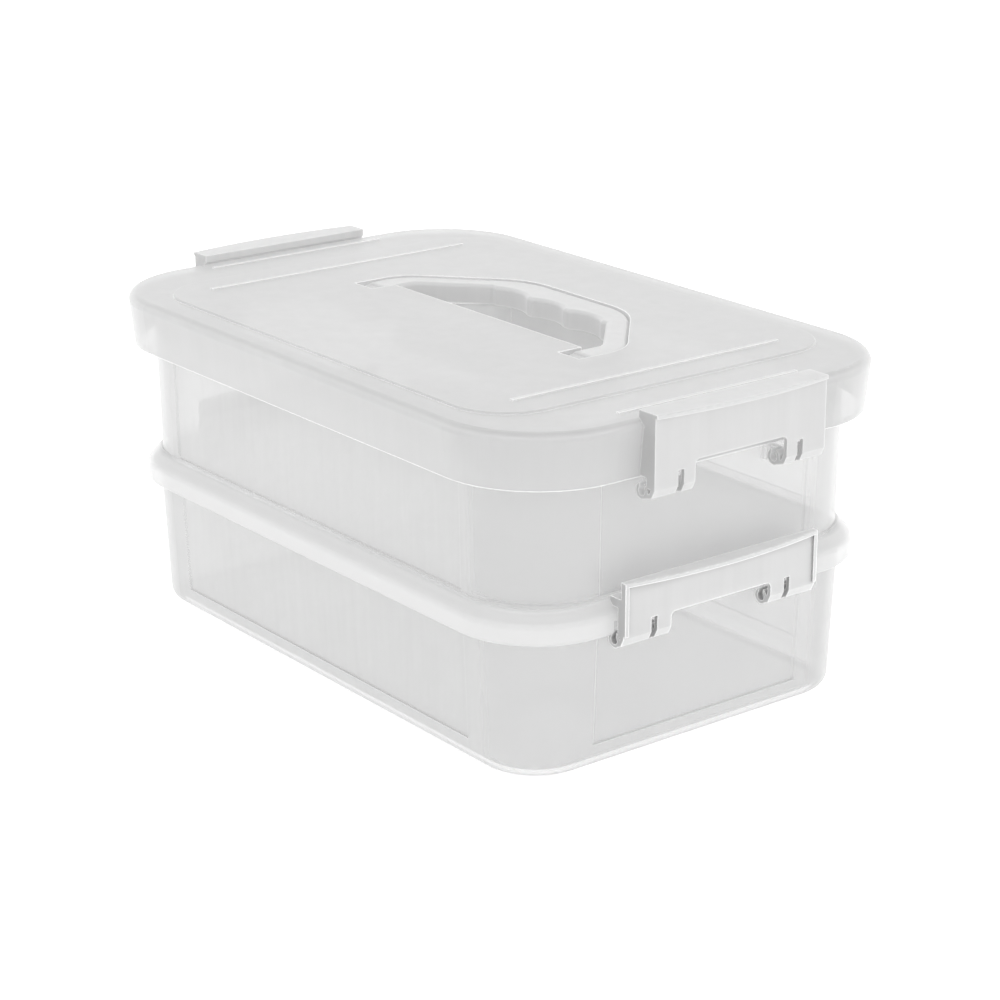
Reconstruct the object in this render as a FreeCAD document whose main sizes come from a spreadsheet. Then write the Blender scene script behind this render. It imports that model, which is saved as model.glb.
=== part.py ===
# Stackable two-layer carry box for pencils: a deep lower box, an upper tray that nests on it,
# a lid with a fold-down handle, and a swing latch at each end of each layer.
# Millimetres. +X runs along the box, +Z is up, and the origin is under the middle of the lower box.
import FreeCAD, Part
import math
import os
import re
import Sketcher

doc = FreeCAD.newDocument("carry_box")

# Driving dimensions
SIZES = {
    # lid
    "lid_length": 270, "lid_width": 180, "lid_corner": 40, "lid_skirt": 20, "lid_draft": 2,
    "lid_plate": 2, "lid_wall": 2, "lid_round": 3,
    "plateau_rise": 0.8, "plateau_inset_x": 27, "plateau_inset_y": 12, "plateau_corner": 22, "plateau_round": 0.7,
    "rib_inset_x": 42, "rib_half": 60, "edge_rib_inset_x": 11, "edge_rib_half": 40,
    "rib_width": 1.4, "rib_rise": 0.6,
    # lower box
    "box_height": 60, "box_inset": 11, "box_draft": 2.5, "box_corner": 25,
    "foot_round": 5, "wall": 2, "base": 2, "inner_round": 3,
    # upper tray
    "tray_height": 64.2, "tray_inset": 9.6, "tray_draft": 1, "tray_corner": 30,
    "band_inset": 5.4, "band_corner": 33, "band_drop": 9, "band_face": 7.2, "band_slope": 5.5, "band_ledge": 0.05,
    "band_wall": 2, "band_round": 3, "band_foot_round": 1.6,
    # panels sunk into the walls between the corners
    "panel_end_x": 91, "panel_end_y": 47, "panel_depth": 0.8, "panel_run": 0.8, "panel_low": 9,
    # rims and the ribs that centre one layer on the next
    "rim": 1.6, "flange_drop": 2.2, "plate_lift": 1.5, "seat_gap": 0.5, "ring_wall": 1.5, "ring_height": 3,
    # latches
    "pin_size": 1.55, "pin_gap": 0.05, "eye_size": 2.9, "web_width": 2, "slot_width": 2.6,
    "latch_plate": 1.6, "latch_gap": 0.35, "latch_side_gap": 1, "cheek_width": 1.8, "snap_width": 2.2,
    "up_latch_width": 76.4, "up_foot_in": 20.6, "up_slot_at": 26.7, "up_plate_x": 6.5, "up_pin_out": 9.6,
    "up_pin_drop": 24.2, "up_top_rise": 3.2, "up_hook_reach": 1.3, "up_arch": 9, "up_bow": 3,
    "low_latch_width": 87.5, "low_foot_in": 22.8, "low_slot_at": 30.3, "low_plate_x": -1.5, "low_pin_out": 4.5,
    "low_pin_drop": 11.1, "low_top_rise": 10.3, "low_arch": 6.6, "low_bow": 4,
    "hook_back": 1.5, "lip_height": 1.4, "lip_end": 0.8, "lip_round": 0.5, "slot_rise": 5.2,
    "arch_round": 2, "border_width": 1.6, "border_rise": 0.8,
    # handle and the recess that it folds into
    "grip_half": 30, "grip_inner": 34.5, "grip_outer": 45, "grip_width": 15, "arm_span": 68, "arm_width": 10.5,
    "arm_out": 11, "arm_in": 9, "handle_depth": 7.5, "handle_sink": 0.5, "hinge_back": 4.5, "hub_size": 4.5, "hub_cover": 1,
    "stub_size": 2, "stub_length": 3.4, "stub_wall": 5, "handle_gap": 0.6, "tub_wall": 2,
    "well_depth": 22, "well_half": 54, "well_far_half": 30, "well_far": 36,
    "finger_pitch": 22, "finger_depth": 2.8, "finger_half": 9.5, "pocket_depth": 11.5,
    "grip_corner": 30, "arm_corner": 18, "arm_inner_corner": 8, "finger_round": 2, "grip_round": 1.5,
}
sheet = doc.addObject("Spreadsheet::Sheet", "Sizes")
for row, (alias, number) in enumerate(SIZES.items(), start=1):
    sheet.set(f"A{row}", alias)
    sheet.set(f"B{row}", str(number))
    sheet.setAlias(f"B{row}", alias)
doc.recompute()


def e(text):
    """Turn words such as lid_length / 2 into an expression on the sheet."""
    return re.sub(r"[a-z_]+", lambda word: f"Sizes.{word[0]}" if word[0] in SIZES else word[0], text)


def number(text):
    """The value of such an expression now."""
    return float(sheet.evalExpression(e(text)))


# Levels and half sizes that several pieces share
BAND_BOTTOM = "( box_height - band_drop )"
BAND_EDGE = "( box_height - band_drop + band_face )"
BAND_TOP = "( box_height - band_drop + band_face + band_slope )"
TRAY_TOP = "( box_height + tray_height )"
LID_TOP = "( box_height + tray_height + lid_plate )"
LID_BOTTOM = "( box_height + tray_height + lid_plate - lid_skirt )"
DECK = "( box_height + tray_height + lid_plate + plateau_rise )"
BAND_WALL = ("( tray_inset + tray_draft * ( tray_height + band_drop - band_face - band_slope )"
             " / tray_height )")
HALF = {"x": "lid_length / 2", "y": "lid_width / 2"}


# Sketch helpers
def plane(body, role):
    return next(item for item in body.Origin.OriginFeatures if item.Role == role)


def new_body(label):
    body = doc.addObject("PartDesign::Body", label)
    body.Label = label
    return body


def new_sketch(body, name, role, offset):
    sketch = body.newObject("Sketcher::SketchObject", name)
    sketch.AttachmentSupport = [(plane(body, role), "")]
    sketch.MapMode = "FlatFace"
    sketch.setExpression(".AttachmentOffset.Base.z", e(offset))
    return sketch


def hold(sketch, kind, *args):
    """Add a constraint whose size is the expression that ends args."""
    *where, text = args
    index = sketch.addConstraint(Sketcher.Constraint(kind, *where, number(text)))
    sketch.setExpression(f"Constraints[{index}]", e(text))


def polygon(sketch, points):
    """A closed run of lines; points are pairs of expressions."""
    spots = [FreeCAD.Vector(number(u), number(v), 0) for u, v in points]
    first = sketch.GeometryCount
    count = len(points)
    for i in range(count):
        sketch.addGeometry(Part.LineSegment(spots[i], spots[(i + 1) % count]))
    for i in range(count):
        sketch.addConstraint(Sketcher.Constraint("Coincident", first + i, 2, first + (i + 1) % count, 1))
    for i, (u, v) in enumerate(points):
        hold(sketch, "DistanceX", -1, 1, first + i, 1, u)
        hold(sketch, "DistanceY", -1, 1, first + i, 1, v)


def circle(sketch, u, v, radius):
    spot = FreeCAD.Vector(number(u), number(v), 0)
    index = sketch.addGeometry(Part.Circle(spot, FreeCAD.Vector(0, 0, 1), number(radius)))
    hold(sketch, "DistanceX", -1, 1, index, 3, u)
    hold(sketch, "DistanceY", -1, 1, index, 3, v)
    hold(sketch, "Radius", index, radius)


def round_rectangle(sketch, half_x, half_y, radius):
    """A rectangle about the origin with round corners, counter-clockwise from its lower side."""
    a, b, r = number(half_x), number(half_y), number(radius)
    first = sketch.GeometryCount
    up = FreeCAD.Vector(0, 0, 1)
    corners = [(a - r, -b + r, 270), (a - r, b - r, 0), (-a + r, b - r, 90), (-a + r, -b + r, 180)]
    ends = []
    for cx, cy, start in corners:
        ring = Part.Circle(FreeCAD.Vector(cx, cy, 0), up, r)
        sketch.addGeometry(Part.ArcOfCircle(ring, math.radians(start), math.radians(start + 90)))
        for angle in (start, start + 90):
            t = math.radians(angle)
            ends.append(FreeCAD.Vector(cx + r * math.cos(t), cy + r * math.sin(t), 0))
    for i in range(4):
        sketch.addGeometry(Part.LineSegment(ends[2 * i + 1], ends[(2 * i + 2) % 8]))
    for i in range(4):
        arc, line, next_arc = first + i, first + 4 + i, first + (i + 1) % 4
        sketch.addConstraint(Sketcher.Constraint("Tangent", arc, 2, line, 1))
        sketch.addConstraint(Sketcher.Constraint("Tangent", line, 2, next_arc, 1))
        sketch.addConstraint(Sketcher.Constraint("Horizontal" if i % 2 else "Vertical", line))
    for i in range(1, 4):
        sketch.addConstraint(Sketcher.Constraint("Equal", first, first + i))
    hold(sketch, "Radius", first, radius)
    for corner, sign in ((1, ""), (3, "-1 * ")):
        hold(sketch, "DistanceX", -1, 1, first + corner, 3, f"{sign}( {half_x} - {radius} )")
        hold(sketch, "DistanceY", -1, 1, first + corner, 3, f"{sign}( {half_y} - {radius} )")


def bowed_strip(sketch, back, front, half, bow, middle="0", turned=False):
    """A strip whose front edge bows out by bow at its middle; it bows along X, or along Y when turned."""
    b, f, w, s, m = (number(text) for text in (back, front, half, bow, middle))
    spots = [(f, m - w), (f + s, m), (f, m + w), (b, m + w), (b, m - w)]
    spots = [FreeCAD.Vector(v, u, 0) if turned else FreeCAD.Vector(u, v, 0) for u, v in spots]
    arc = sketch.addGeometry(Part.Arc(spots[0], spots[1], spots[2]))
    top = sketch.addGeometry(Part.LineSegment(spots[2], spots[3]))
    rear = sketch.addGeometry(Part.LineSegment(spots[3], spots[4]))
    low = sketch.addGeometry(Part.LineSegment(spots[4], spots[0]))
    start, finish = (2, 1) if turned else (1, 2)
    for joint in ((arc, finish, top, 1), (top, 2, rear, 1), (rear, 2, low, 1), (low, 2, arc, start)):
        sketch.addConstraint(Sketcher.Constraint("Coincident", *joint))
    across, along = ("DistanceY", "DistanceX") if turned else ("DistanceX", "DistanceY")
    far, near = f"( {middle} + {half} )", f"( {middle} - {half} )"
    for line, point, u, v in ((top, 1, front, far), (top, 2, back, far), (low, 1, back, near), (low, 2, front, near)):
        hold(sketch, across, -1, 1, line, point, u)
        hold(sketch, along, -1, 1, line, point, v)
    hold(sketch, "Radius", arc, f"( {half} * {half} / ( 2 * {bow} ) + {bow} / 2 )")


# Feature helpers
def pad(body, sketch, length, reverse=False, both=False, taper="0"):
    feature = body.newObject("PartDesign::Pad", f"{sketch.Name}_pad")
    feature.Profile = sketch
    feature.setExpression("Length", e(length))
    feature.setExpression("TaperAngle", e(taper))
    feature.Reversed = reverse
    feature.Midplane = both
    return feature


def cut(body, sketch, length, reverse=False, both=False, taper="0"):
    """A pocket, checked to have removed something."""
    doc.recompute()
    before = body.Shape.Volume
    feature = body.newObject("PartDesign::Pocket", f"{sketch.Name}_pocket")
    feature.Profile = sketch
    feature.setExpression("Length", e(length))
    feature.setExpression("TaperAngle", e(taper))
    feature.Reversed = reverse
    feature.Midplane = both
    doc.recompute()
    if not body.Shape.Volume < before - 0.01:
        raise RuntimeError(f"{feature.Name} cuts nothing")
    return feature


def loft(body, kind, low, high):
    feature = body.newObject(f"PartDesign::{kind}Loft", f"{low.Name}_loft")
    feature.Profile = low
    feature.Sections = [high]
    feature.Ruled = True
    return feature


def fillet(body, radius, chosen, name):
    """Round the edges of the body that chosen picks out."""
    doc.recompute()
    base = body.Tip
    names = [f"Edge{i}" for i, edge in enumerate(base.Shape.Edges, start=1) if chosen(edge)]
    if not names:
        raise RuntimeError(f"{name} finds no edge")
    feature = body.newObject("PartDesign::Fillet", name)
    feature.Base = (base, names)
    feature.setExpression("Radius", e(radius))
    doc.recompute()
    return feature


def level(z):
    """Picks edges that lie flat at height z."""
    height = number(z)
    return lambda edge: all(abs(vertex.Z - height) < 1e-4 for vertex in edge.Vertexes)


def upright(*places):
    """Picks upright edges at the given places in plan, and their mirror images across X = 0."""
    spots = [(number(u), number(v)) for u, v in places]

    def chosen(edge):
        ends = edge.Vertexes
        if len(ends) != 2 or abs(ends[0].X - ends[1].X) > 1e-4 or abs(ends[0].Y - ends[1].Y) > 1e-4:
            return False
        return any(abs(abs(ends[0].X) - u) < 1e-3 and abs(ends[0].Y - v) < 1e-3 for u, v in spots)
    return chosen


def outline_at(body, name, z, inset, corner, extra="0"):
    """A round rectangle at height z, inset from the lid's outline."""
    sketch = new_sketch(body, name, "XY_Plane", z)
    half_x = f"( {HALF['x']} - ( {inset} ) - {extra} )"
    half_y = f"( {HALF['y']} - ( {inset} ) - {extra} )"
    round_rectangle(sketch, half_x, half_y, f"( {corner} )")
    return sketch


def ring_at(body, name, z, height, outer, outer_corner, inner, inner_corner):
    """A rim: the band between two outlines, height tall, from z up."""
    sketch = outline_at(body, name, z, outer, outer_corner)
    half_x = f"( {HALF['x']} - ( {inner} ) )"
    half_y = f"( {HALF['y']} - ( {inner} ) )"
    round_rectangle(sketch, half_x, half_y, f"( {inner_corner} )")
    return pad(body, sketch, height)


def sunk_panels(body, name, low, high, inset_low, inset_high):
    """Shallow flats on the four walls, between the corners, that follow the wall's draft."""
    for axis, end in (("y", "panel_end_x"), ("x", "panel_end_y")):
        for side, sign in (("a", "-1 * "), ("b", "1 * ")):
            sections = []
            for place, z, inset in (("low", low, inset_low), ("high", high, inset_high)):
                wall = f"( {HALF[axis]} - ( {inset} ) )"
                along = [f"-1 * ( {end} + panel_run )", f"-1 * ( {end} - panel_run )",
                         f"( {end} - panel_run )", f"( {end} + panel_run )"]
                depth = [f"{sign}( {wall} + panel_depth )", f"{sign}( {wall} - panel_depth )"]
                across = [depth[0], depth[1], depth[1], depth[0]]
                points = list(zip(along, across)) if axis == "y" else list(zip(across, along))
                sketch = new_sketch(body, f"{name}_panel_{axis}{side}_{place}", "XY_Plane", z)
                polygon(sketch, points)
                sections.append(sketch)
            loft(body, "Subtractive", sections[0], sections[1])


def latch_seat(body, name, pin_x, pin_z, foot_in, slot_at, width, wall_x):
    """Pins for a latch's feet on both ends of the box, each on a web from the wall."""
    middle = f"( ( {foot_in} + {width} / 2 ) / 2 )"
    length = f"( {width} / 2 - {foot_in} - 2 * web_width )"
    for end, sx in (("right", ""), ("left", "-1 * ")):
        for side, sy in (("a", "-1 * "), ("b", "")):
            pin = new_sketch(body, f"{name}_pin_{end}_{side}", "XZ_Plane", f"{sy}{middle}")
            circle(pin, f"{sx}( {pin_x} )", pin_z, "pin_size")
            pad(body, pin, length, both=True)
            web = new_sketch(body, f"{name}_web_{end}_{side}", "XZ_Plane", f"{sy}{slot_at}")
            polygon(web, [
                (f"{sx}( {wall_x} - wall / 2 )", f"( {pin_z} - 3 * pin_size )"),
                (f"{sx}( {wall_x} )", f"( {pin_z} - 3 * pin_size )"),
                (f"{sx}( {pin_x} )", f"( {pin_z} - pin_size )"),
                (f"{sx}( {pin_x} )", f"( {pin_z} + pin_size )"),
                (f"{sx}( {wall_x} - wall / 2 )", f"( {pin_z} + pin_size )"),
            ])
            pad(body, web, "web_width", both=True)


# Lower box
PIN_LOW_X = "( lid_length / 2 - box_inset + low_pin_out )"
PIN_LOW_Z = "( box_height - low_pin_drop )"


def lower_box():
    body = new_body("lower_box")
    draft = "atan( box_draft / box_height )"
    foot = outline_at(body, "box_foot", "0", "box_inset + box_draft", "box_corner - box_draft")
    pad(body, foot, "box_height", taper=draft)
    fillet(body, "foot_round", level("0"), "box_foot_round")
    mouth = outline_at(body, "box_mouth", "box_height", "box_inset + wall", "box_corner - wall")
    cut(body, mouth, "box_height - base", taper=f"-1 * {draft}")
    fillet(body, "inner_round", level("base"), "box_floor_round")
    at_low = "box_inset + box_draft * ( 1 - panel_low / box_height )"
    sunk_panels(body, "box", "panel_low", "box_height", at_low, "box_inset")
    ring_at(body, "box_flange", "box_height - flange_drop - rim", "rim",
            "band_inset + band_wall + seat_gap", "band_corner - band_wall - seat_gap",
            "box_inset + wall", "box_corner - wall")
    drafted_wall = "( lid_length / 2 - box_inset - box_draft * low_pin_drop / box_height )"
    latch_seat(body, "box", PIN_LOW_X, PIN_LOW_Z, "low_foot_in", "low_slot_at", "low_latch_width", drafted_wall)
    return body


# Upper tray
PIN_UP_X = "( lid_length / 2 - tray_inset + up_pin_out )"
PIN_UP_Z = "( box_height + tray_height + lid_plate - up_pin_drop )"


def band_outline(z):
    """Picks the edges at height z that lie on the band's outer outline."""
    reach_x, reach_y = number("lid_length / 2 - band_inset"), number("lid_width / 2 - band_inset")

    def chosen(edge):
        far_x = max(abs(vertex.X) for vertex in edge.Vertexes)
        far_y = max(abs(vertex.Y) for vertex in edge.Vertexes)
        return level(z)(edge) and (abs(far_x - reach_x) < 1e-4 or abs(far_y - reach_y) < 1e-4)
    return chosen


def upper_tray():
    body = new_body("upper_tray")
    draft = "atan( tray_draft / tray_height )"
    foot = outline_at(body, "tray_foot", "box_height", "tray_inset + tray_draft", "tray_corner")
    pad(body, foot, "tray_height", taper=draft)
    band = outline_at(body, "band", BAND_BOTTOM, "band_inset", "band_corner")
    pad(body, band, "band_face + band_slope")
    doc.recompute()
    whole = body.Tip
    crest = body.newObject("PartDesign::Chamfer", "band_crest")
    on_top = band_outline(BAND_TOP)
    crest.Base = (whole, [f"Edge{i}" for i, edge in enumerate(whole.Shape.Edges, start=1) if on_top(edge)])
    crest.ChamferType = "Two distances"
    crest.setExpression("Size", e(f"{BAND_WALL} - band_inset - band_ledge"))
    crest.setExpression("Size2", e("band_slope"))
    fillet(body, "band_round", band_outline(BAND_EDGE), "band_brow")
    fillet(body, "band_foot_round", band_outline(BAND_BOTTOM), "band_foot")
    hollow = outline_at(body, "band_hollow", BAND_BOTTOM, "band_inset + band_wall", "band_corner - band_wall")
    cut(body, hollow, "band_face", reverse=True)
    nest = outline_at(body, "band_nest", BAND_EDGE, "box_inset - seat_gap", "box_corner + seat_gap")
    cut(body, nest, "band_drop - band_face", reverse=True)
    mouth = outline_at(body, "tray_mouth", TRAY_TOP, "tray_inset + wall", "tray_corner + tray_draft - wall")
    cut(body, mouth, "tray_height - base", taper=f"-1 * {draft}")
    fillet(body, "inner_round", level("box_height + base"), "tray_floor_round")
    sunk_panels(body, "tray", BAND_TOP, TRAY_TOP, BAND_WALL, "tray_inset")
    ring_at(body, "tray_ring", "box_height - ring_height", "ring_height",
            "box_inset + wall + seat_gap", "box_corner - wall - seat_gap",
            "box_inset + wall + seat_gap + ring_wall", "box_corner - wall - seat_gap - ring_wall")
    ring_at(body, "tray_flange", f"{TRAY_TOP} - rim", "rim",
            "lid_draft + lid_wall + seat_gap", "lid_corner - lid_draft - lid_wall - seat_gap",
            "tray_inset + wall", "tray_corner - wall")
    latch_seat(body, "tray", PIN_UP_X, PIN_UP_Z, "up_foot_in", "up_slot_at", "up_latch_width",
               "( lid_length / 2 - tray_inset - tray_draft )")
    for end, sx in (("right", ""), ("left", "-1 * ")):
        gate = new_sketch(body, f"band_gate_{end}", "YZ_Plane", f"{sx}( lid_length / 2 )")
        far = "( low_latch_width / 2 + latch_side_gap )"
        low_z, high_z = f"( {BAND_BOTTOM} - rim )", "( box_height - flange_drop - rim )"
        polygon(gate, [(f"-1 * {far}", low_z), (far, low_z), (far, high_z), (f"-1 * {far}", high_z)])
        cut(body, gate, "band_inset + band_wall + seat_gap", reverse=(end == "left"))
    return body


# Lid
HEEL_ROOM = "( hinge_back + hub_size + hub_cover + handle_gap )"
RECESS = [
    ("( arm_span + handle_gap )", f"-1 * {HEEL_ROOM}"),
    ("( arm_span + handle_gap )", "( arm_out + handle_gap / 2 )"),
    ("( grip_half + handle_gap / 2 )", "( grip_outer + handle_gap )"),
    ("-1 * ( grip_half + handle_gap / 2 )", "( grip_outer + handle_gap )"),
    ("-1 * ( arm_span + handle_gap )", "( arm_out + handle_gap / 2 )"),
    ("-1 * ( arm_span + handle_gap )", f"-1 * {HEEL_ROOM}"),
    ("-1 * ( arm_span - arm_width - handle_gap )", f"-1 * {HEEL_ROOM}"),
    ("-1 * ( arm_span - arm_width - handle_gap )", "0"),
    ("( arm_span - arm_width - handle_gap )", "0"),
    ("( arm_span - arm_width - handle_gap )", f"-1 * {HEEL_ROOM}"),
]
HINGE_Z = f"( {DECK} - handle_sink - hub_cover - hub_size )"
HANDLE_FLOOR = f"( {DECK} - handle_sink - handle_depth )"
POCKET_FLOOR = f"( {DECK} - pocket_depth )"
WELL_FLOOR = f"( {DECK} - well_depth )"


def well_points(extra):
    near, far = f"( well_half + {extra} )", f"( well_far_half + {extra} )"
    top, low = f"( well_far + {extra} )", f"-1 * {extra}"
    return [(near, low), (near, "arm_in"), (far, top), (f"-1 * {far}", top),
            (f"-1 * {near}", "arm_in"), (f"-1 * {near}", low)]


def pocket_points(sx, extra, wall):
    outer = f"{sx}( arm_span + handle_gap + {wall} )"
    inner = f"{sx}( arm_span - arm_width - handle_gap - {extra} )"
    low = f"-1 * ( {HEEL_ROOM} + {extra} )"
    high = f"( hub_size + {extra} )"
    return [(outer, low), (outer, high), (inner, high), (inner, low)]


def lid():
    body = new_body("lid")
    draft = "atan( lid_draft / lid_skirt )"
    skirt = outline_at(body, "skirt", LID_BOTTOM, "lid_draft", "lid_corner - lid_draft")
    pad(body, skirt, "lid_skirt", taper=draft)
    fillet(body, "lid_round", level(LID_TOP), "lid_edge_round")
    deck = new_sketch(body, "deck", "XY_Plane", LID_TOP)
    round_rectangle(deck, "( lid_length / 2 - plateau_inset_x )", "( lid_width / 2 - plateau_inset_y )",
                    "plateau_corner")
    pad(body, deck, "plateau_rise")
    fillet(body, "plateau_round", level(DECK), "plateau_edge_round")
    inside = outline_at(body, "skirt_mouth", LID_BOTTOM, "lid_draft + lid_wall", "lid_corner - lid_draft - lid_wall")
    cut(body, inside, "lid_skirt - lid_plate", reverse=True, taper=draft)
    ring_at(body, "lid_ring", f"{TRAY_TOP} - ring_height", "ring_height",
            "tray_inset + wall + seat_gap", "tray_corner - wall - seat_gap",
            "tray_inset + wall + seat_gap + ring_wall", "tray_corner - wall - seat_gap - ring_wall")
    shelf = new_sketch(body, "shelf_shell", "XY_Plane", f"{HANDLE_FLOOR} - tub_wall")
    shell = [("( arm_span + handle_gap + tub_wall )", "-1 * tub_wall"),
             ("( arm_span + handle_gap + tub_wall )", "( arm_out + handle_gap + tub_wall )"),
             ("( grip_half + handle_gap + tub_wall )", "( grip_outer + handle_gap + tub_wall )")]
    mirror = [(f"-1 * {u}", v) for u, v in reversed(shell)]
    polygon(shelf, shell + mirror)
    pad(body, shelf, f"{TRAY_TOP} - {HANDLE_FLOOR} + 1.5 * tub_wall")
    well = new_sketch(body, "well_shell", "XY_Plane", f"{WELL_FLOOR} - tub_wall")
    polygon(well, well_points("tub_wall"))
    pad(body, well, f"{HANDLE_FLOOR} - {WELL_FLOOR} + tub_wall")
    for end, sx in (("right", ""), ("left", "-1 * ")):
        block = new_sketch(body, f"pocket_shell_{end}", "XY_Plane", f"{POCKET_FLOOR} - tub_wall")
        polygon(block, pocket_points(sx, "tub_wall", "stub_wall"))
        pad(body, block, f"{LID_TOP} - {POCKET_FLOOR} + tub_wall / 2")
    recess = new_sketch(body, "recess", "XY_Plane", DECK)
    polygon(recess, RECESS)
    cut(body, recess, "handle_sink + handle_depth")
    fillet(body, "grip_corner + handle_gap", upright(RECESS[2]), "recess_corners")
    fillet(body, "arm_corner + handle_gap", upright(RECESS[1]), "recess_shoulders")
    hollow = new_sketch(body, "well", "XY_Plane", DECK)
    polygon(hollow, well_points("0"))
    cut(body, hollow, "well_depth")
    for end, sx in (("right", ""), ("left", "-1 * ")):
        pocket = new_sketch(body, f"pocket_{end}", "XY_Plane", DECK)
        polygon(pocket, pocket_points(sx, "0", "0"))
        cut(body, pocket, "pocket_depth")
        bore = new_sketch(body, f"bore_{end}", "YZ_Plane", f"{sx}( arm_span )")
        circle(bore, "-1 * hinge_back", HINGE_Z, "( stub_size + pin_gap )")
        cut(body, bore, "stub_length + seat_gap", reverse=(end == "right"))
    for end, sx in (("right", ""), ("left", "-1 * ")):
        for name, inset, half, z in (("rib", "rib_inset_x", "rib_half", DECK),
                                     ("edge_rib", "edge_rib_inset_x", "edge_rib_half", LID_TOP)):
            rib = new_sketch(body, f"{name}_{end}", "XY_Plane", z)
            inner = f"{sx}( lid_length / 2 - {inset} )"
            outer = f"{sx}( lid_length / 2 - {inset} + rib_width )"
            polygon(rib, [(inner, f"-1 * {half}"), (outer, f"-1 * {half}"), (outer, half), (inner, half)])
            pad(body, rib, "rib_rise")
    return body


# Handle
def inner_grip_edge(edge):
    """Picks the upright edges along the inside of the grip, scallop crests and end corners alike."""
    edge_y = number("grip_outer - grip_width")
    ends = edge.Vertexes
    return (len(ends) == 2 and abs(ends[0].Z - ends[1].Z) > 1 and abs(ends[0].Y - edge_y) < 1e-3
            and abs(ends[1].Y - edge_y) < 1e-3)


def handle():
    body = new_body("handle")
    outline = new_sketch(body, "grip", "XY_Plane", HANDLE_FLOOR)
    half_outer = [("arm_span", "-1 * hinge_back"), ("arm_span", "arm_out"), ("grip_half", "grip_outer")]
    half_inner = [("grip_inner", "( grip_outer - grip_width )"),
                  ("( arm_span - arm_width )", "arm_in"),
                  ("( arm_span - arm_width )", "-1 * hinge_back")]
    left_outer = [(f"-1 * {u}", v) for u, v in reversed(half_outer)]
    left_inner = [(f"-1 * {u}", v) for u, v in reversed(half_inner)]
    polygon(outline, half_outer + left_outer + left_inner + half_inner)
    pad(body, outline, "handle_depth")
    top = f"( {HANDLE_FLOOR} + handle_depth )"
    for i in (-1, 0, 1):
        scallop = new_sketch(body, f"finger_{i + 2}", "XY_Plane", top)
        edge = "( grip_outer - grip_width )"
        bowed_strip(scallop, f"( {edge} - 1 )", edge, "finger_half", "finger_depth",
                    middle=f"( {i} * finger_pitch )", turned=True)
        cut(body, scallop, "handle_depth")
    fillet(body, "grip_corner", upright(half_outer[2]), "grip_corners")
    fillet(body, "arm_corner", upright(half_outer[1]), "arm_outer_corners")
    fillet(body, "arm_inner_corner", upright(half_inner[1]), "arm_inner_corners")
    fillet(body, "finger_round", inner_grip_edge, "finger_crests")
    fillet(body, "grip_round", level(top), "grip_top_round")
    for end, sx in (("right", ""), ("left", "-1 * ")):
        hub = new_sketch(body, f"hub_{end}", "YZ_Plane", f"{sx}( arm_span - arm_width )")
        circle(hub, "-1 * hinge_back", HINGE_Z, "hub_size")
        pad(body, hub, "arm_width", reverse=(end == "left"))
        stub = new_sketch(body, f"stub_{end}", "YZ_Plane", f"{sx}( arm_span - 1 )")
        circle(stub, "-1 * hinge_back", HINGE_Z, "stub_size")
        pad(body, stub, "stub_length + 1", reverse=(end == "left"))
    return body


# Latches
def arch_corner(foot_in, z):
    """Picks the edges where the feet's inner sides meet the top of the arch between them."""
    side_y, top = number(foot_in), level(z)

    def chosen(edge):
        places = [vertex.Y for vertex in edge.Vertexes]
        return top(edge) and abs(abs(sum(places)) / 2 - side_y) < 1e-4
    return chosen


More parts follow.
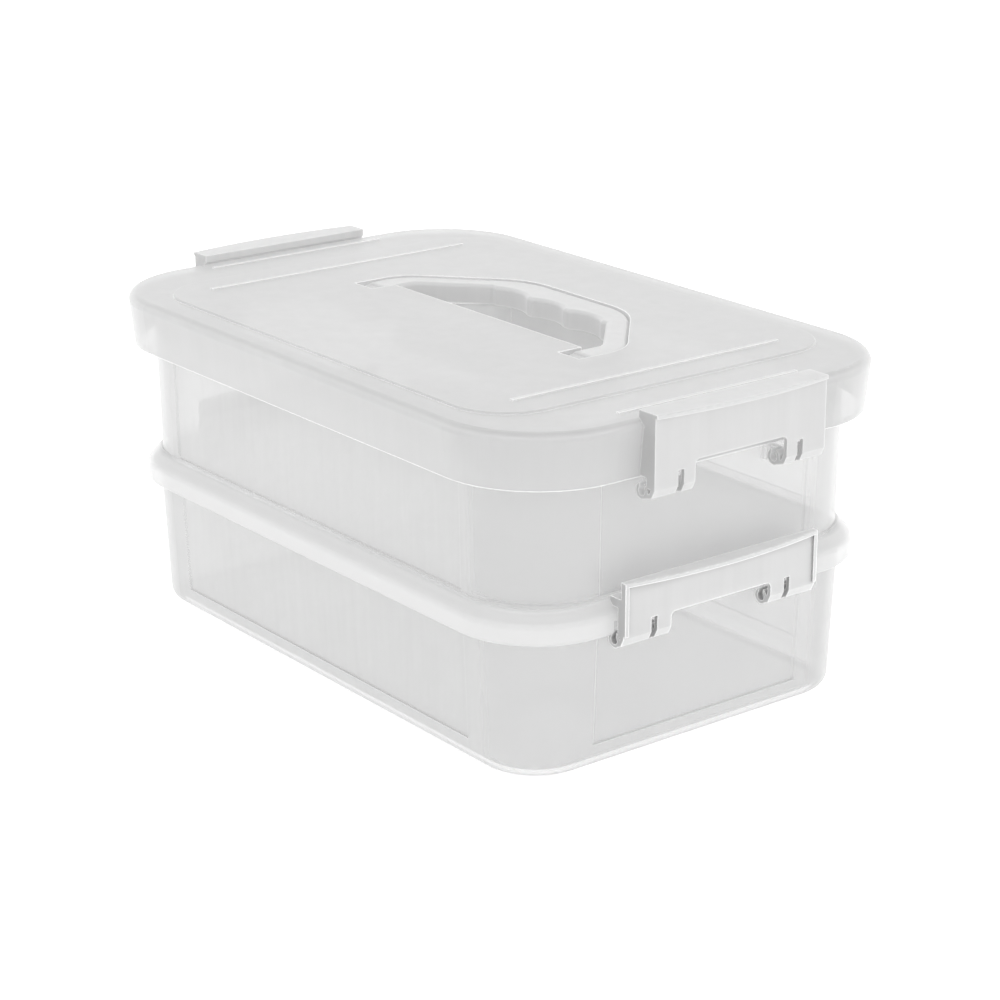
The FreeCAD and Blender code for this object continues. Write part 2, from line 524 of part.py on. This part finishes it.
def latch(label, left, half, foot_in, slot_at, pin_x, pin_z, plate_x, top_z, hook, cheek, arch, bow):
    """A swing latch on the right end; the left one is the same piece turned half round."""
    body = new_body(label)
    inner = f"( {plate_x} - latch_plate )"
    curl_z = f"( {pin_z} - eye_size )"
    side = new_sketch(body, f"{label}_side", "XZ_Plane", "0")
    polygon(side, [(plate_x, f"( {pin_z} + {arch} )")] + hook + [(inner, f"( {pin_z} + {arch} )")])
    pad(body, side, f"( 2 * {half} )", both=True)
    middle = f"( ( {foot_in} + {half} ) / 2 )"
    for end, sy in (("a", "-1 * "), ("b", "")):
        foot = new_sketch(body, f"{label}_foot_{end}", "XZ_Plane", f"{sy}{middle}")
        polygon(foot, [
            (plate_x, f"( {pin_z} + {arch} + 1 )"), (plate_x, f"( {pin_z} + plate_lift )"),
            (f"( {plate_x} - eye_size / 2 )", f"( {pin_z} - eye_size / 2 )"), (f"( {pin_x} )", curl_z),
            (f"( {pin_x} )", f"( {curl_z} + latch_plate )"),
            (f"( {inner} - eye_size / 3 )", f"( {pin_z} )"),
            (inner, f"( {pin_z} + plate_lift + latch_plate / 2 )"), (inner, f"( {pin_z} + {arch} + 1 )")])
        pad(body, foot, f"( {half} - {foot_in} )", both=True)
        eye = new_sketch(body, f"{label}_eye_{end}", "XZ_Plane", f"{sy}{middle}")
        circle(eye, f"( {pin_x} )", pin_z, "eye_size")
        pad(body, eye, f"( {half} - {foot_in} )", both=True)
    fillet(body, "arch_round", arch_corner(foot_in, f"( {pin_z} + {arch} )"), f"{label}_arch_round")
    for end, sy in (("a", "-1 * "), ("b", "")):
        wing = new_sketch(body, f"{label}_cheek_{end}", "XZ_Plane", f"{sy}( {half} - cheek_width / 2 )")
        polygon(wing, cheek)
        pad(body, wing, "cheek_width", both=True)
    bores = new_sketch(body, f"{label}_bore", "XZ_Plane", "0")
    circle(bores, f"( {pin_x} )", pin_z, "( pin_size + pin_gap )")
    cut(body, bores, f"( 2 * {half} )", both=True)
    mouth = new_sketch(body, f"{label}_mouth", "XZ_Plane", "0")
    snap = "( snap_width / 2 )"
    polygon(mouth, [(f"( {pin_x} - {snap} )", pin_z), (f"( {pin_x} + {snap} )", pin_z),
                    (f"( {pin_x} + {snap} )", f"( {pin_z} + 1.5 * eye_size )"),
                    (f"( {pin_x} - {snap} )", f"( {pin_z} + 1.5 * eye_size )")])
    cut(body, mouth, f"( 2 * {half} )", both=True)
    slots = new_sketch(body, f"{label}_slots", "YZ_Plane", f"( {plate_x} + 1 )")
    for sy in ("-1 * ", ""):
        near, far = f"( {sy}{slot_at} - slot_width / 2 )", f"( {sy}{slot_at} + slot_width / 2 )"
        low_z, high_z = f"( {curl_z} - 1 )", f"( {pin_z} + plate_lift + slot_rise )"
        polygon(slots, [(near, low_z), (far, low_z), (far, high_z), (near, high_z)])
    cut(body, slots, f"( {plate_x} + 2 - {pin_x} + 2 * eye_size )")
    lip = new_sketch(body, f"{label}_lip", "XY_Plane", f"{top_z} - lip_height")
    bowed_strip(lip, f"( {plate_x} - latch_plate )", f"( {plate_x} + lip_end )", half, bow)
    pad(body, lip, "lip_height")
    brow = number(f"{plate_x} + lip_end")
    fillet(body, "lip_round", lambda edge: level(top_z)(edge) and all(v.X > brow - 1e-4 for v in edge.Vertexes),
           f"{label}_lip_round")
    doc.recompute()
    if left:
        body.Placement = FreeCAD.Placement(FreeCAD.Vector(), FreeCAD.Rotation(FreeCAD.Vector(0, 0, 1), 180))
    return body


def upper_latch(label, left):
    plate_x = "( lid_length / 2 + up_plate_x )"
    inner = f"( {plate_x} - latch_plate )"
    top_z = f"( {LID_TOP} + up_top_rise )"
    # the hook's slope runs at 45 degrees, clear of the lid's rounded edge
    touch = "( lid_round - sqrt( 0.5 ) * ( lid_round + latch_gap ) )"
    slope_x, slope_z = f"( lid_length / 2 - {touch} )", f"( {LID_TOP} - {touch} )"
    tip_z = f"( {slope_z} + up_hook_reach )"
    tip_x = f"( {slope_x} - up_hook_reach )"
    heel_z = f"( {slope_z} - ( {inner} - {slope_x} ) )"
    hook = [(plate_x, top_z), (tip_x, top_z), (tip_x, tip_z), (inner, heel_z)]
    # the cheeks close the gap to the skirt, which leans in towards its lower edge
    high_z, low_z = f"( {LID_TOP} - lid_round )", f"( {PIN_UP_Z} + 1.75 * eye_size )"
    high_x, low_x = (f"( lid_length / 2 + 2 * latch_gap - lid_draft * ( {LID_TOP} - {z} ) / lid_skirt )"
                     for z in (high_z, low_z))
    neck_x, neck_z = f"( {PIN_UP_X} + snap_width )", f"( {PIN_UP_Z} + eye_size / 2 )"
    cheek = [(plate_x, neck_z), (plate_x, slope_z), (f"( {high_x} + 1 )", slope_z), (high_x, high_z),
             (low_x, low_z), (neck_x, low_z), (neck_x, neck_z)]
    return latch(label, left, "( up_latch_width / 2 )", "up_foot_in", "up_slot_at", PIN_UP_X, PIN_UP_Z,
                 plate_x, top_z, hook, cheek, "up_arch", "up_bow")


def lower_latch(label, left):
    plate_x = "( lid_length / 2 + low_plate_x )"
    inner = f"( {plate_x} - latch_plate )"
    top_z = "( box_height + low_top_rise )"
    # the hook's underside follows the band's slope, clear of it by latch_gap
    run = f"( {BAND_WALL} - band_inset - band_ledge )"
    clear = f"( latch_gap * sqrt( 1 + band_slope * band_slope / {run} / {run} ) )"
    tip_x = f"( lid_length / 2 - {BAND_WALL} + band_ledge + hook_back )"
    slope_z = f"( {BAND_TOP} - hook_back * band_slope / {run} + {clear} )"
    heel_x = f"( {tip_x} + latch_plate )"
    heel_z = f"( {slope_z} - latch_plate * band_slope / {run} )"
    shelf = f"( {slope_z} + latch_plate )"
    hook = [(plate_x, top_z), (inner, top_z), (inner, shelf), (tip_x, shelf), (tip_x, slope_z),
            (heel_x, heel_z), (inner, heel_z)]
    # the cheeks reach in to the band's face
    deep, low_z = "( lid_length / 2 - band_inset + 2 * latch_gap )", f"( {PIN_LOW_Z} + eye_size / 2 )"
    high_z = f"( {heel_z} + latch_plate / 2 )"
    cheek = [(plate_x, low_z), (plate_x, high_z), (deep, high_z), (deep, low_z)]
    body = latch(label, left, "( low_latch_width / 2 )", "low_foot_in", "low_slot_at", PIN_LOW_X, PIN_LOW_Z,
                 plate_x, top_z, hook, cheek, "low_arch", "low_bow")
    for end, sy in (("a", "-1 * "), ("b", "")):
        border = new_sketch(body, f"{label}_border_{end}", "XZ_Plane",
                            f"{sy}( low_latch_width / 2 - border_width / 2 )")
        proud, foot_z = f"( {plate_x} + border_rise )", f"( {PIN_LOW_Z} + plate_lift + latch_plate / 2 )"
        under_lip = f"( {top_z} - lip_height / 2 )"
        polygon(border, [(inner, foot_z), (proud, foot_z), (proud, under_lip), (inner, under_lip)])
        pad(body, border, "border_width", both=True)
    return body


pieces = [lower_box(), upper_tray(), lid(), handle(),
          upper_latch("upper_latch_right", False), upper_latch("upper_latch_left", True),
          lower_latch("lower_latch_right", False), lower_latch("lower_latch_left", True)]
doc.recompute()

for item in doc.Objects:
    if "Invalid" in item.State or "Error" in item.State:
        raise RuntimeError(f"{item.Name} failed: {item.State}")
os.makedirs("parts", exist_ok=True)
for piece in pieces:
    shape = piece.Shape
    if shape.isNull() or not shape.isValid():
        raise RuntimeError(f"{piece.Label} has no valid shape")
    box = shape.BoundBox
    print(f"{piece.Label}: {len(shape.Solids)} solid, {shape.Volume / 1000:.1f} cm3,",
          f"x {box.XMin:.1f} to {box.XMax:.1f}, y {box.YMin:.1f} to {box.YMax:.1f},",
          f"z {box.ZMin:.1f} to {box.ZMax:.1f}")
    shape.exportStep(f"parts/{piece.Label}.step")
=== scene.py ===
# %% [markdown]
# # A two-layer carry box for pencils
# The real object is an injection-moulded polypropylene box: a deep lower box, an upper tray that
# nests on it, a lid with a fold-down handle, and a swing latch at each end of each layer.
# The solids come in as a fixed frame, in metres, +X along the box and +Z up. They already have the
# object's shapes, so this scene gives them their plastics, and sets up the light and the camera.

# %% Load the frame
import math

import bpy
from mathutils import Matrix, Vector


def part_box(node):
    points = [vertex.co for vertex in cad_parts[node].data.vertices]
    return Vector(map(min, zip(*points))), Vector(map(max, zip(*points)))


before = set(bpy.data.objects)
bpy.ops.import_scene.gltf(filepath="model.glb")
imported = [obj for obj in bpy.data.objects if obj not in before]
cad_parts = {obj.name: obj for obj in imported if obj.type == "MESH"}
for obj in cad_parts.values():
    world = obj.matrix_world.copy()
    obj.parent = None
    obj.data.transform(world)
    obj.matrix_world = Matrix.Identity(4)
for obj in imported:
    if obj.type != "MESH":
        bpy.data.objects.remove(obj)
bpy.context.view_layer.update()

MM = 0.001
for name in sorted(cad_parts):
    low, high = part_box(name)
    size = [round((high[i] - low[i]) / MM, 1) for i in range(3)]
    print(f"{name}: {size[0]} x {size[1]} x {size[2]} mm")

# %% [markdown]
# ## Two small helpers
# Colours are picked as sRGB hex values, as a maker would name them, but shaders work in linear light.
# One function turns the first into the second. Another adds one node with its settings and links,
# so that each material below reads as a short list of what feeds what.


# %% Colour and node helpers
def linear(hex_colour):
    """An sRGB hex colour as linear RGBA."""
    parts = [int(hex_colour[i:i + 2], 16) / 255 for i in (1, 3, 5)]
    light = [v / 12.92 if v <= 0.04045 else ((v + 0.055) / 1.055) ** 2.4 for v in parts]
    return (*light, 1.0)


def add(tree, kind, inputs=None, **settings):
    """Add a node; inputs maps a socket's name to its value, or to the socket that feeds it."""
    node = tree.nodes.new(kind)
    for name, value in settings.items():
        setattr(node, name, value)
    for name, value in (inputs or {}).items():
        if isinstance(value, bpy.types.NodeSocket):
            tree.links.new(value, node.inputs[name])
        else:
            node.inputs[name].default_value = value
    return node


# %% [markdown]
# ## Polypropylene
# Polypropylene is partly crystalline, so even "clear" grades are slightly milky: a wall lets most
# light through, scatters some, and looks denser where the eye meets it at a slant and so looks
# through more of it. Real glass-like transmission would bend and darken ten walls in a row and stay
# grainy, so a see-through share (alpha) that grows towards slanted faces is used instead. Melt that
# flowed through the mould leaves faint clouds and upright streaks, and the polished steel of the mould
# leaves a smooth skin with a slight waviness. Light is also painted into the colour. Edges and the tray's band get a
# painted highlight, a lighter colour standing in for the light that runs inside the wall. Inner corners,
# the plate under a lip and faces square to Y get painted shade, a darker colour, so inner corners read as
# fine dark lines. A faint emission of the plastic's own colour is painted light that keeps every wall from looking
# unlit.

# %% Polypropylene materials
FLOW_LENGTH = 90 * MM
STREAK_WIDTH = 7 * MM
SKIN_WAVE = 16 * MM
# Width of the painted highlight along edges.
HIGHLIGHT_EDGE_REACH = 0.7 * MM
CREASE_SOLID = 0.8


# The band zone that is painted lighter: a painted highlight.
def highlight_band_zone(tree, place, low, high, half_x, half_y, corner):
    """1 between the heights low and high and outside a round rectangle in plan, 0 elsewhere."""
    soft = 1.2 * MM
    split = add(tree, "ShaderNodeSeparateXYZ", {"Vector": place})
    plan = add(tree, "ShaderNodeCombineXYZ", {"X": split.outputs["X"], "Y": split.outputs["Y"]})
    mirrored = add(tree, "ShaderNodeVectorMath", {0: plan.outputs["Vector"]}, operation="ABSOLUTE")
    past = add(tree, "ShaderNodeVectorMath", {
        0: mirrored.outputs["Vector"], 1: (half_x - corner, half_y - corner, 0)}, operation="SUBTRACT")
    outside = add(tree, "ShaderNodeVectorMath", {0: past.outputs["Vector"], 1: (0, 0, 0)}, operation="MAXIMUM")
    away = add(tree, "ShaderNodeVectorMath", {0: outside.outputs["Vector"]}, operation="LENGTH")
    out = add(tree, "ShaderNodeMapRange", {
        "Value": away.outputs["Value"], "From Min": corner - soft, "From Max": corner, "To Min": 0.0, "To Max": 1.0})
    above = add(tree, "ShaderNodeMapRange", {
        "Value": split.outputs["Z"], "From Min": low - soft, "From Max": low, "To Min": 0.0, "To Max": 1.0})
    below = add(tree, "ShaderNodeMapRange", {
        "Value": split.outputs["Z"], "From Min": high, "From Max": high + soft, "To Min": 1.0, "To Max": 0.0})
    both = add(tree, "ShaderNodeMath", {0: above.outputs["Result"], 1: below.outputs["Result"]}, operation="MULTIPLY")
    zone = add(tree, "ShaderNodeMath", {0: both.outputs[0], 1: out.outputs["Result"]}, operation="MULTIPLY")
    return zone.outputs[0]


def polypropylene(name, colour, shade, painted_highlight, face_on, slanted, rim, roughness, cloud, painted_crease_shade, reach, painted_glow, milk=0.0,
                  highlight_band=None, painted_side_shade=None):
    """A see-through moulded plastic; face_on and slanted are how solid it looks from there.

    crease is painted shade: a darker colour laid on inner corners and under lips, felt as far as reach
    from them; it stays thinner than a wall.
    spread is the strength of painted light: the plastic emits its own colour faintly, standing in for
    the light it passes on from all sides, so that no wall in it looks unlit.
    deep is painted shade on faces square to Y: a darker colour on the sides of narrow plates.
    glow is a painted highlight: a lighter colour on edges and in the thick zone.
    """
    material = bpy.data.materials.new(name)
    material.use_nodes = True
    tree = material.node_tree
    tree.nodes.clear()
    place = add(tree, "ShaderNodeTexCoord").outputs["Object"]
    stretched = add(tree, "ShaderNodeMapping", {"Vector": place, "Scale": (1, 1, STREAK_WIDTH / FLOW_LENGTH)})
    streaks = add(tree, "ShaderNodeTexNoise", {
        "Vector": stretched.outputs["Vector"], "Scale": 1 / STREAK_WIDTH, "Detail": 3.0, "Roughness": 0.55})
    clouds = add(tree, "ShaderNodeTexNoise", {
        "Vector": place, "Scale": 1 / (3 * SKIN_WAVE), "Detail": 2.0, "Roughness": 0.5})
    flow = add(tree, "ShaderNodeMix", {
        "Factor": 0.5, "A": streaks.outputs["Fac"], "B": clouds.outputs["Fac"]}, data_type="FLOAT")
    tone = add(tree, "ShaderNodeMix", {
        "Factor": flow.outputs["Result"], "A": linear(colour), "B": linear(shade)}, data_type="RGBA")
    slant = add(tree, "ShaderNodeLayerWeight", {"Blend": 0.5})
    dense = add(tree, "ShaderNodeMapRange", {
        "Value": slant.outputs["Facing"], "From Min": 0.3, "From Max": 1.0,
        "To Min": face_on, "To Max": slanted})
    uneven = add(tree, "ShaderNodeMapRange", {
        "Value": flow.outputs["Result"], "From Min": 0.3, "From Max": 0.7,
        "To Min": 1 - cloud, "To Max": 1 + cloud})
    solid = add(tree, "ShaderNodeMath", {0: dense.outputs["Result"], 1: uneven.outputs["Result"]},
                operation="MULTIPLY", use_clamp=True)
    wave = add(tree, "ShaderNodeTexNoise", {"Vector": place, "Scale": 1 / SKIN_WAVE, "Detail": 1.0})
    bump = add(tree, "ShaderNodeBump", {
        "Height": wave.outputs["Fac"], "Strength": 0.06, "Distance": 0.5 * MM})
    # Painted highlight: edges, found with a bevel, are mixed towards a lighter colour.
    rounded = add(tree, "ShaderNodeBevel", {"Radius": HIGHLIGHT_EDGE_REACH}, samples=4)
    flat = add(tree, "ShaderNodeNewGeometry")
    along = add(tree, "ShaderNodeVectorMath", {0: rounded.outputs["Normal"], 1: flat.outputs["Normal"]},
                operation="DOT_PRODUCT")
    edge = add(tree, "ShaderNodeMapRange", {
        "Value": along.outputs["Value"], "From Min": 0.97, "From Max": 0.8, "To Min": 0.0, "To Max": 1.0})
    white = edge.outputs["Result"]
    # The tray's band is painted lighter too, a painted highlight.
    if highlight_band is not None:
        white = add(tree, "ShaderNodeMath", {0: white, 1: highlight_band_zone(tree, place, *highlight_band)}, operation="MAXIMUM").outputs[0]
    # Painted shade: faces square to Y are mixed towards a darker colour.
    if painted_side_shade is not None:
        normal = add(tree, "ShaderNodeTexCoord").outputs["Normal"]
        across = add(tree, "ShaderNodeSeparateXYZ", {"Vector": normal}).outputs["Y"]
        size = add(tree, "ShaderNodeMath", {0: across}, operation="ABSOLUTE").outputs[0]
        endways = add(tree, "ShaderNodeMapRange", {
            "Value": size, "From Min": 0.75, "From Max": 0.97, "To Min": 0.0, "To Max": 1.0})
        tone = add(tree, "ShaderNodeMix", {
            "Factor": endways.outputs["Result"], "A": tone.outputs["Result"], "B": linear(painted_side_shade)}, data_type="RGBA")
    painted_highlight_tone = add(tree, "ShaderNodeMix", {
        "Factor": white, "A": tone.outputs["Result"], "B": linear(painted_highlight)}, data_type="RGBA")
    # Painted shade: near inner corners and under lips the colour is mixed towards a darker one.
    openness = add(tree, "ShaderNodeAmbientOcclusion", {"Distance": reach}, samples=4, only_local=True)
    corner = add(tree, "ShaderNodeMapRange", {
        "Value": openness.outputs["AO"], "From Min": 0.85, "From Max": 0.4, "To Min": 0.0, "To Max": 1.0})
    lit = add(tree, "ShaderNodeMix", {
        "Factor": corner.outputs["Result"], "A": painted_highlight_tone.outputs["Result"], "B": linear(painted_crease_shade)}, data_type="RGBA")
    bare = add(tree, "ShaderNodeMix", {
        "Factor": white, "A": solid.outputs["Value"], "B": rim}, data_type="FLOAT")
    filled = add(tree, "ShaderNodeMix", {
        "Factor": corner.outputs["Result"], "A": bare.outputs["Result"], "B": CREASE_SOLID}, data_type="FLOAT")
    gloss = add(tree, "ShaderNodeMapRange", {
        "Value": clouds.outputs["Fac"], "To Min": roughness * 0.85, "To Max": roughness * 1.15})
    # The emission is painted light: the plastic gives off its own painted colour faintly, though it is no lamp.
    shader = add(tree, "ShaderNodeBsdfPrincipled", {
        "Base Color": lit.outputs["Result"], "Roughness": gloss.outputs["Result"], "IOR": 1.49,
        "Alpha": filled.outputs["Result"], "Normal": bump.outputs["Normal"],
        "Subsurface Weight": milk, "Subsurface Radius": (1, 1, 1), "Subsurface Scale": 4 * MM,
        "Emission Color": lit.outputs["Result"], "Emission Strength": painted_glow})
    add(tree, "ShaderNodeOutputMaterial", {"Surface": shader.outputs["BSDF"]})
    return material


# The tray's band, 51 to 63 mm up, is painted lighter too (painted highlight).
tray_polypropylene = polypropylene(
    "tray_polypropylene", "#B6B6B6", "#AEAEAE", "#BABABA", face_on=0.33, slanted=0.9, rim=0.65,
    roughness=0.33, cloud=0.1, painted_crease_shade="#A0A0A0", reach=1.1 * MM, painted_glow=0.52,
    highlight_band=(51 * MM, 63 * MM, 126 * MM, 81 * MM, 29 * MM))
box_polypropylene = polypropylene(
    "box_polypropylene", "#B6B6B6", "#ACACAC", "#C2C2C2", face_on=0.32, slanted=0.95, rim=0.6,
    roughness=0.33, cloud=0.1, painted_crease_shade="#989898", reach=1.1 * MM, painted_glow=0.42)
milky_polypropylene = polypropylene(
    "milky_polypropylene", "#B2B2B2", "#ACACAC", "#F0F0F0", face_on=0.5, slanted=0.9, rim=0.85,
    roughness=0.33, cloud=0.05, painted_crease_shade="#ACACAC", reach=1.1 * MM, painted_glow=0.47, milk=0.4)
handle_polypropylene = polypropylene(
    "handle_polypropylene", "#BEBEBE", "#BABABA", "#D0D0D0", face_on=0.8, slanted=0.95, rim=0.9,
    roughness=0.34, cloud=0.06, painted_crease_shade="#A4A4A4", reach=1.1 * MM, painted_glow=0.36, milk=0.4)
upper_latch_polypropylene = polypropylene(
    "upper_latch_polypropylene", "#BABABA", "#B6B6B6", "#C2C2C2", face_on=0.8, slanted=0.95, rim=0.9,
    roughness=0.34, cloud=0.06, painted_crease_shade="#A0A0A0", reach=2 * MM, painted_glow=0.38, milk=0.4, painted_side_shade="#9C9C9C")
# On the lower latch the painted shade reaches 4 mm, so it also lays a painted shadow on the plate under its top lip.
lower_latch_polypropylene = polypropylene(
    "lower_latch_polypropylene", "#C0C0C0", "#BCBCBC", "#ECECEC", face_on=0.8, slanted=0.95, rim=0.9,
    roughness=0.34, cloud=0.06, painted_crease_shade="#686868", reach=4 * MM, painted_glow=0.4, milk=0.4, painted_side_shade="#A0A0A0")

# %% [markdown]
# ## Dressing the solids
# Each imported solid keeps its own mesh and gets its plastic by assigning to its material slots.

# %% Give each piece its plastic
PLASTIC = {
    "lower_box": box_polypropylene, "upper_tray": tray_polypropylene,
    "lid": milky_polypropylene, "handle": handle_polypropylene,
    "upper_latch_right": upper_latch_polypropylene, "upper_latch_left": upper_latch_polypropylene,
    "lower_latch_right": lower_latch_polypropylene, "lower_latch_left": lower_latch_polypropylene,
}
for name, material in PLASTIC.items():
    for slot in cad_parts[name].material_slots:
        slot.material = material
    print(name, "is", material.name)

# %% [markdown]
# ## Studio
# The object stands on wide white paper that is lit evenly from below as well, in white air that is a
# little brighter near the horizon than overhead, so that it is brighter behind the plastic than on it
# and the walls read as pale greys on white. One soft box on the right lifts the latched end.

# %% Floor
FLOOR_HALF = 3.0


def floor():
    mesh = bpy.data.meshes.new("studio_floor")
    corners = [(-FLOOR_HALF, -FLOOR_HALF, 0), (FLOOR_HALF, -FLOOR_HALF, 0),
               (FLOOR_HALF, FLOOR_HALF, 0), (-FLOOR_HALF, FLOOR_HALF, 0)]
    mesh.from_pydata(corners, [], [(0, 1, 2, 3)])
    item = bpy.data.objects.new("studio_floor", mesh)
    bpy.context.scene.collection.objects.link(item)
    paper = bpy.data.materials.new("white_paper")
    paper.use_nodes = True
    tree = paper.node_tree
    tree.nodes.clear()
    shader = add(tree, "ShaderNodeBsdfPrincipled", {
        "Base Color": linear("#FCFCFC"), "Roughness": 0.9, "Specular IOR Level": 0.1,
        "Emission Color": (1, 1, 1, 1), "Emission Strength": 0.4})
    add(tree, "ShaderNodeOutputMaterial", {"Surface": shader.outputs["BSDF"]})
    mesh.materials.append(paper)
    return item


floor()

# %% Lights
world = bpy.data.worlds.new("studio_air")
bpy.context.scene.world = world
world.use_nodes = True
world.node_tree.nodes.clear()
direction = add(world.node_tree, "ShaderNodeTexCoord").outputs["Generated"]
height = add(world.node_tree, "ShaderNodeSeparateXYZ", {"Vector": direction}).outputs["Z"]
bright = add(world.node_tree, "ShaderNodeMapRange", {
    "Value": height, "From Min": 0.1, "From Max": 0.9, "To Min": 1.22, "To Max": 0.98})
air = add(world.node_tree, "ShaderNodeBackground", {"Color": (1, 1, 1, 1), "Strength": bright.outputs["Result"]})
add(world.node_tree, "ShaderNodeOutputWorld", {"Surface": air.outputs["Background"]})


def soft_box(name, place, aim, size, power):
    """A square area light at place that faces aim."""
    light = bpy.data.lights.new(name, "AREA")
    light.shape = "SQUARE"
    light.size = size
    light.energy = power
    item = bpy.data.objects.new(name, light)
    bpy.context.scene.collection.objects.link(item)
    item.location = place
    item.rotation_euler = (Vector(aim) - Vector(place)).to_track_quat("-Z", "Y").to_euler()
    return item


soft_box("right_box", (1.3, -0.1, 0.5), (0, 0, 0.06), 0.8, 0.7)

# %% [markdown]
# ## Camera
# The photograph was taken from the right front corner, a little above the lid, from about a metre away.
# Its angle, distance and lens come from lining the lid, the boxes and the latches up with the picture.

# %% Camera
AZIMUTH, ELEVATION, ROLL = math.radians(52.45), math.radians(18.92), math.radians(-0.17)
DISTANCE = 1027.3 * MM
SHIFT_RIGHT, SHIFT_UP = 5.7 * MM, 51.4 * MM
FRAME_PIXELS, FOCAL_PIXELS, SENSOR = 1000, 2663.9, 36.0

back = Vector((math.sin(AZIMUTH) * math.cos(ELEVATION), -math.cos(AZIMUTH) * math.cos(ELEVATION),
               math.sin(ELEVATION)))
right = Vector((math.cos(AZIMUTH), math.sin(AZIMUTH), 0))
up = back.cross(right)
camera_data = bpy.data.cameras.new("photo_camera")
camera_data.sensor_width = SENSOR
camera_data.lens = SENSOR * FOCAL_PIXELS / FRAME_PIXELS
camera_data.clip_end = 20
camera = bpy.data.objects.new("photo_camera", camera_data)
bpy.context.scene.collection.objects.link(camera)
turn = Matrix((right, up, back)).transposed()
camera.matrix_world = (Matrix.Translation(back * DISTANCE + right * SHIFT_RIGHT + up * SHIFT_UP)
                       @ turn.to_4x4() @ Matrix.Rotation(ROLL, 4, "Z"))
bpy.context.scene.camera = camera
print(f"lens {camera_data.lens:.1f} mm, {DISTANCE:.2f} m away")

# %% [markdown]
# ## Colour of the picture
# The plain "Standard" view keeps the white paper white and the greys as they were chosen.

# %% View
bpy.context.scene.view_settings.view_transform = "Standard"
bpy.context.scene.cycles.max_bounces = 16
bpy.context.scene.cycles.transparent_max_bounces = 48
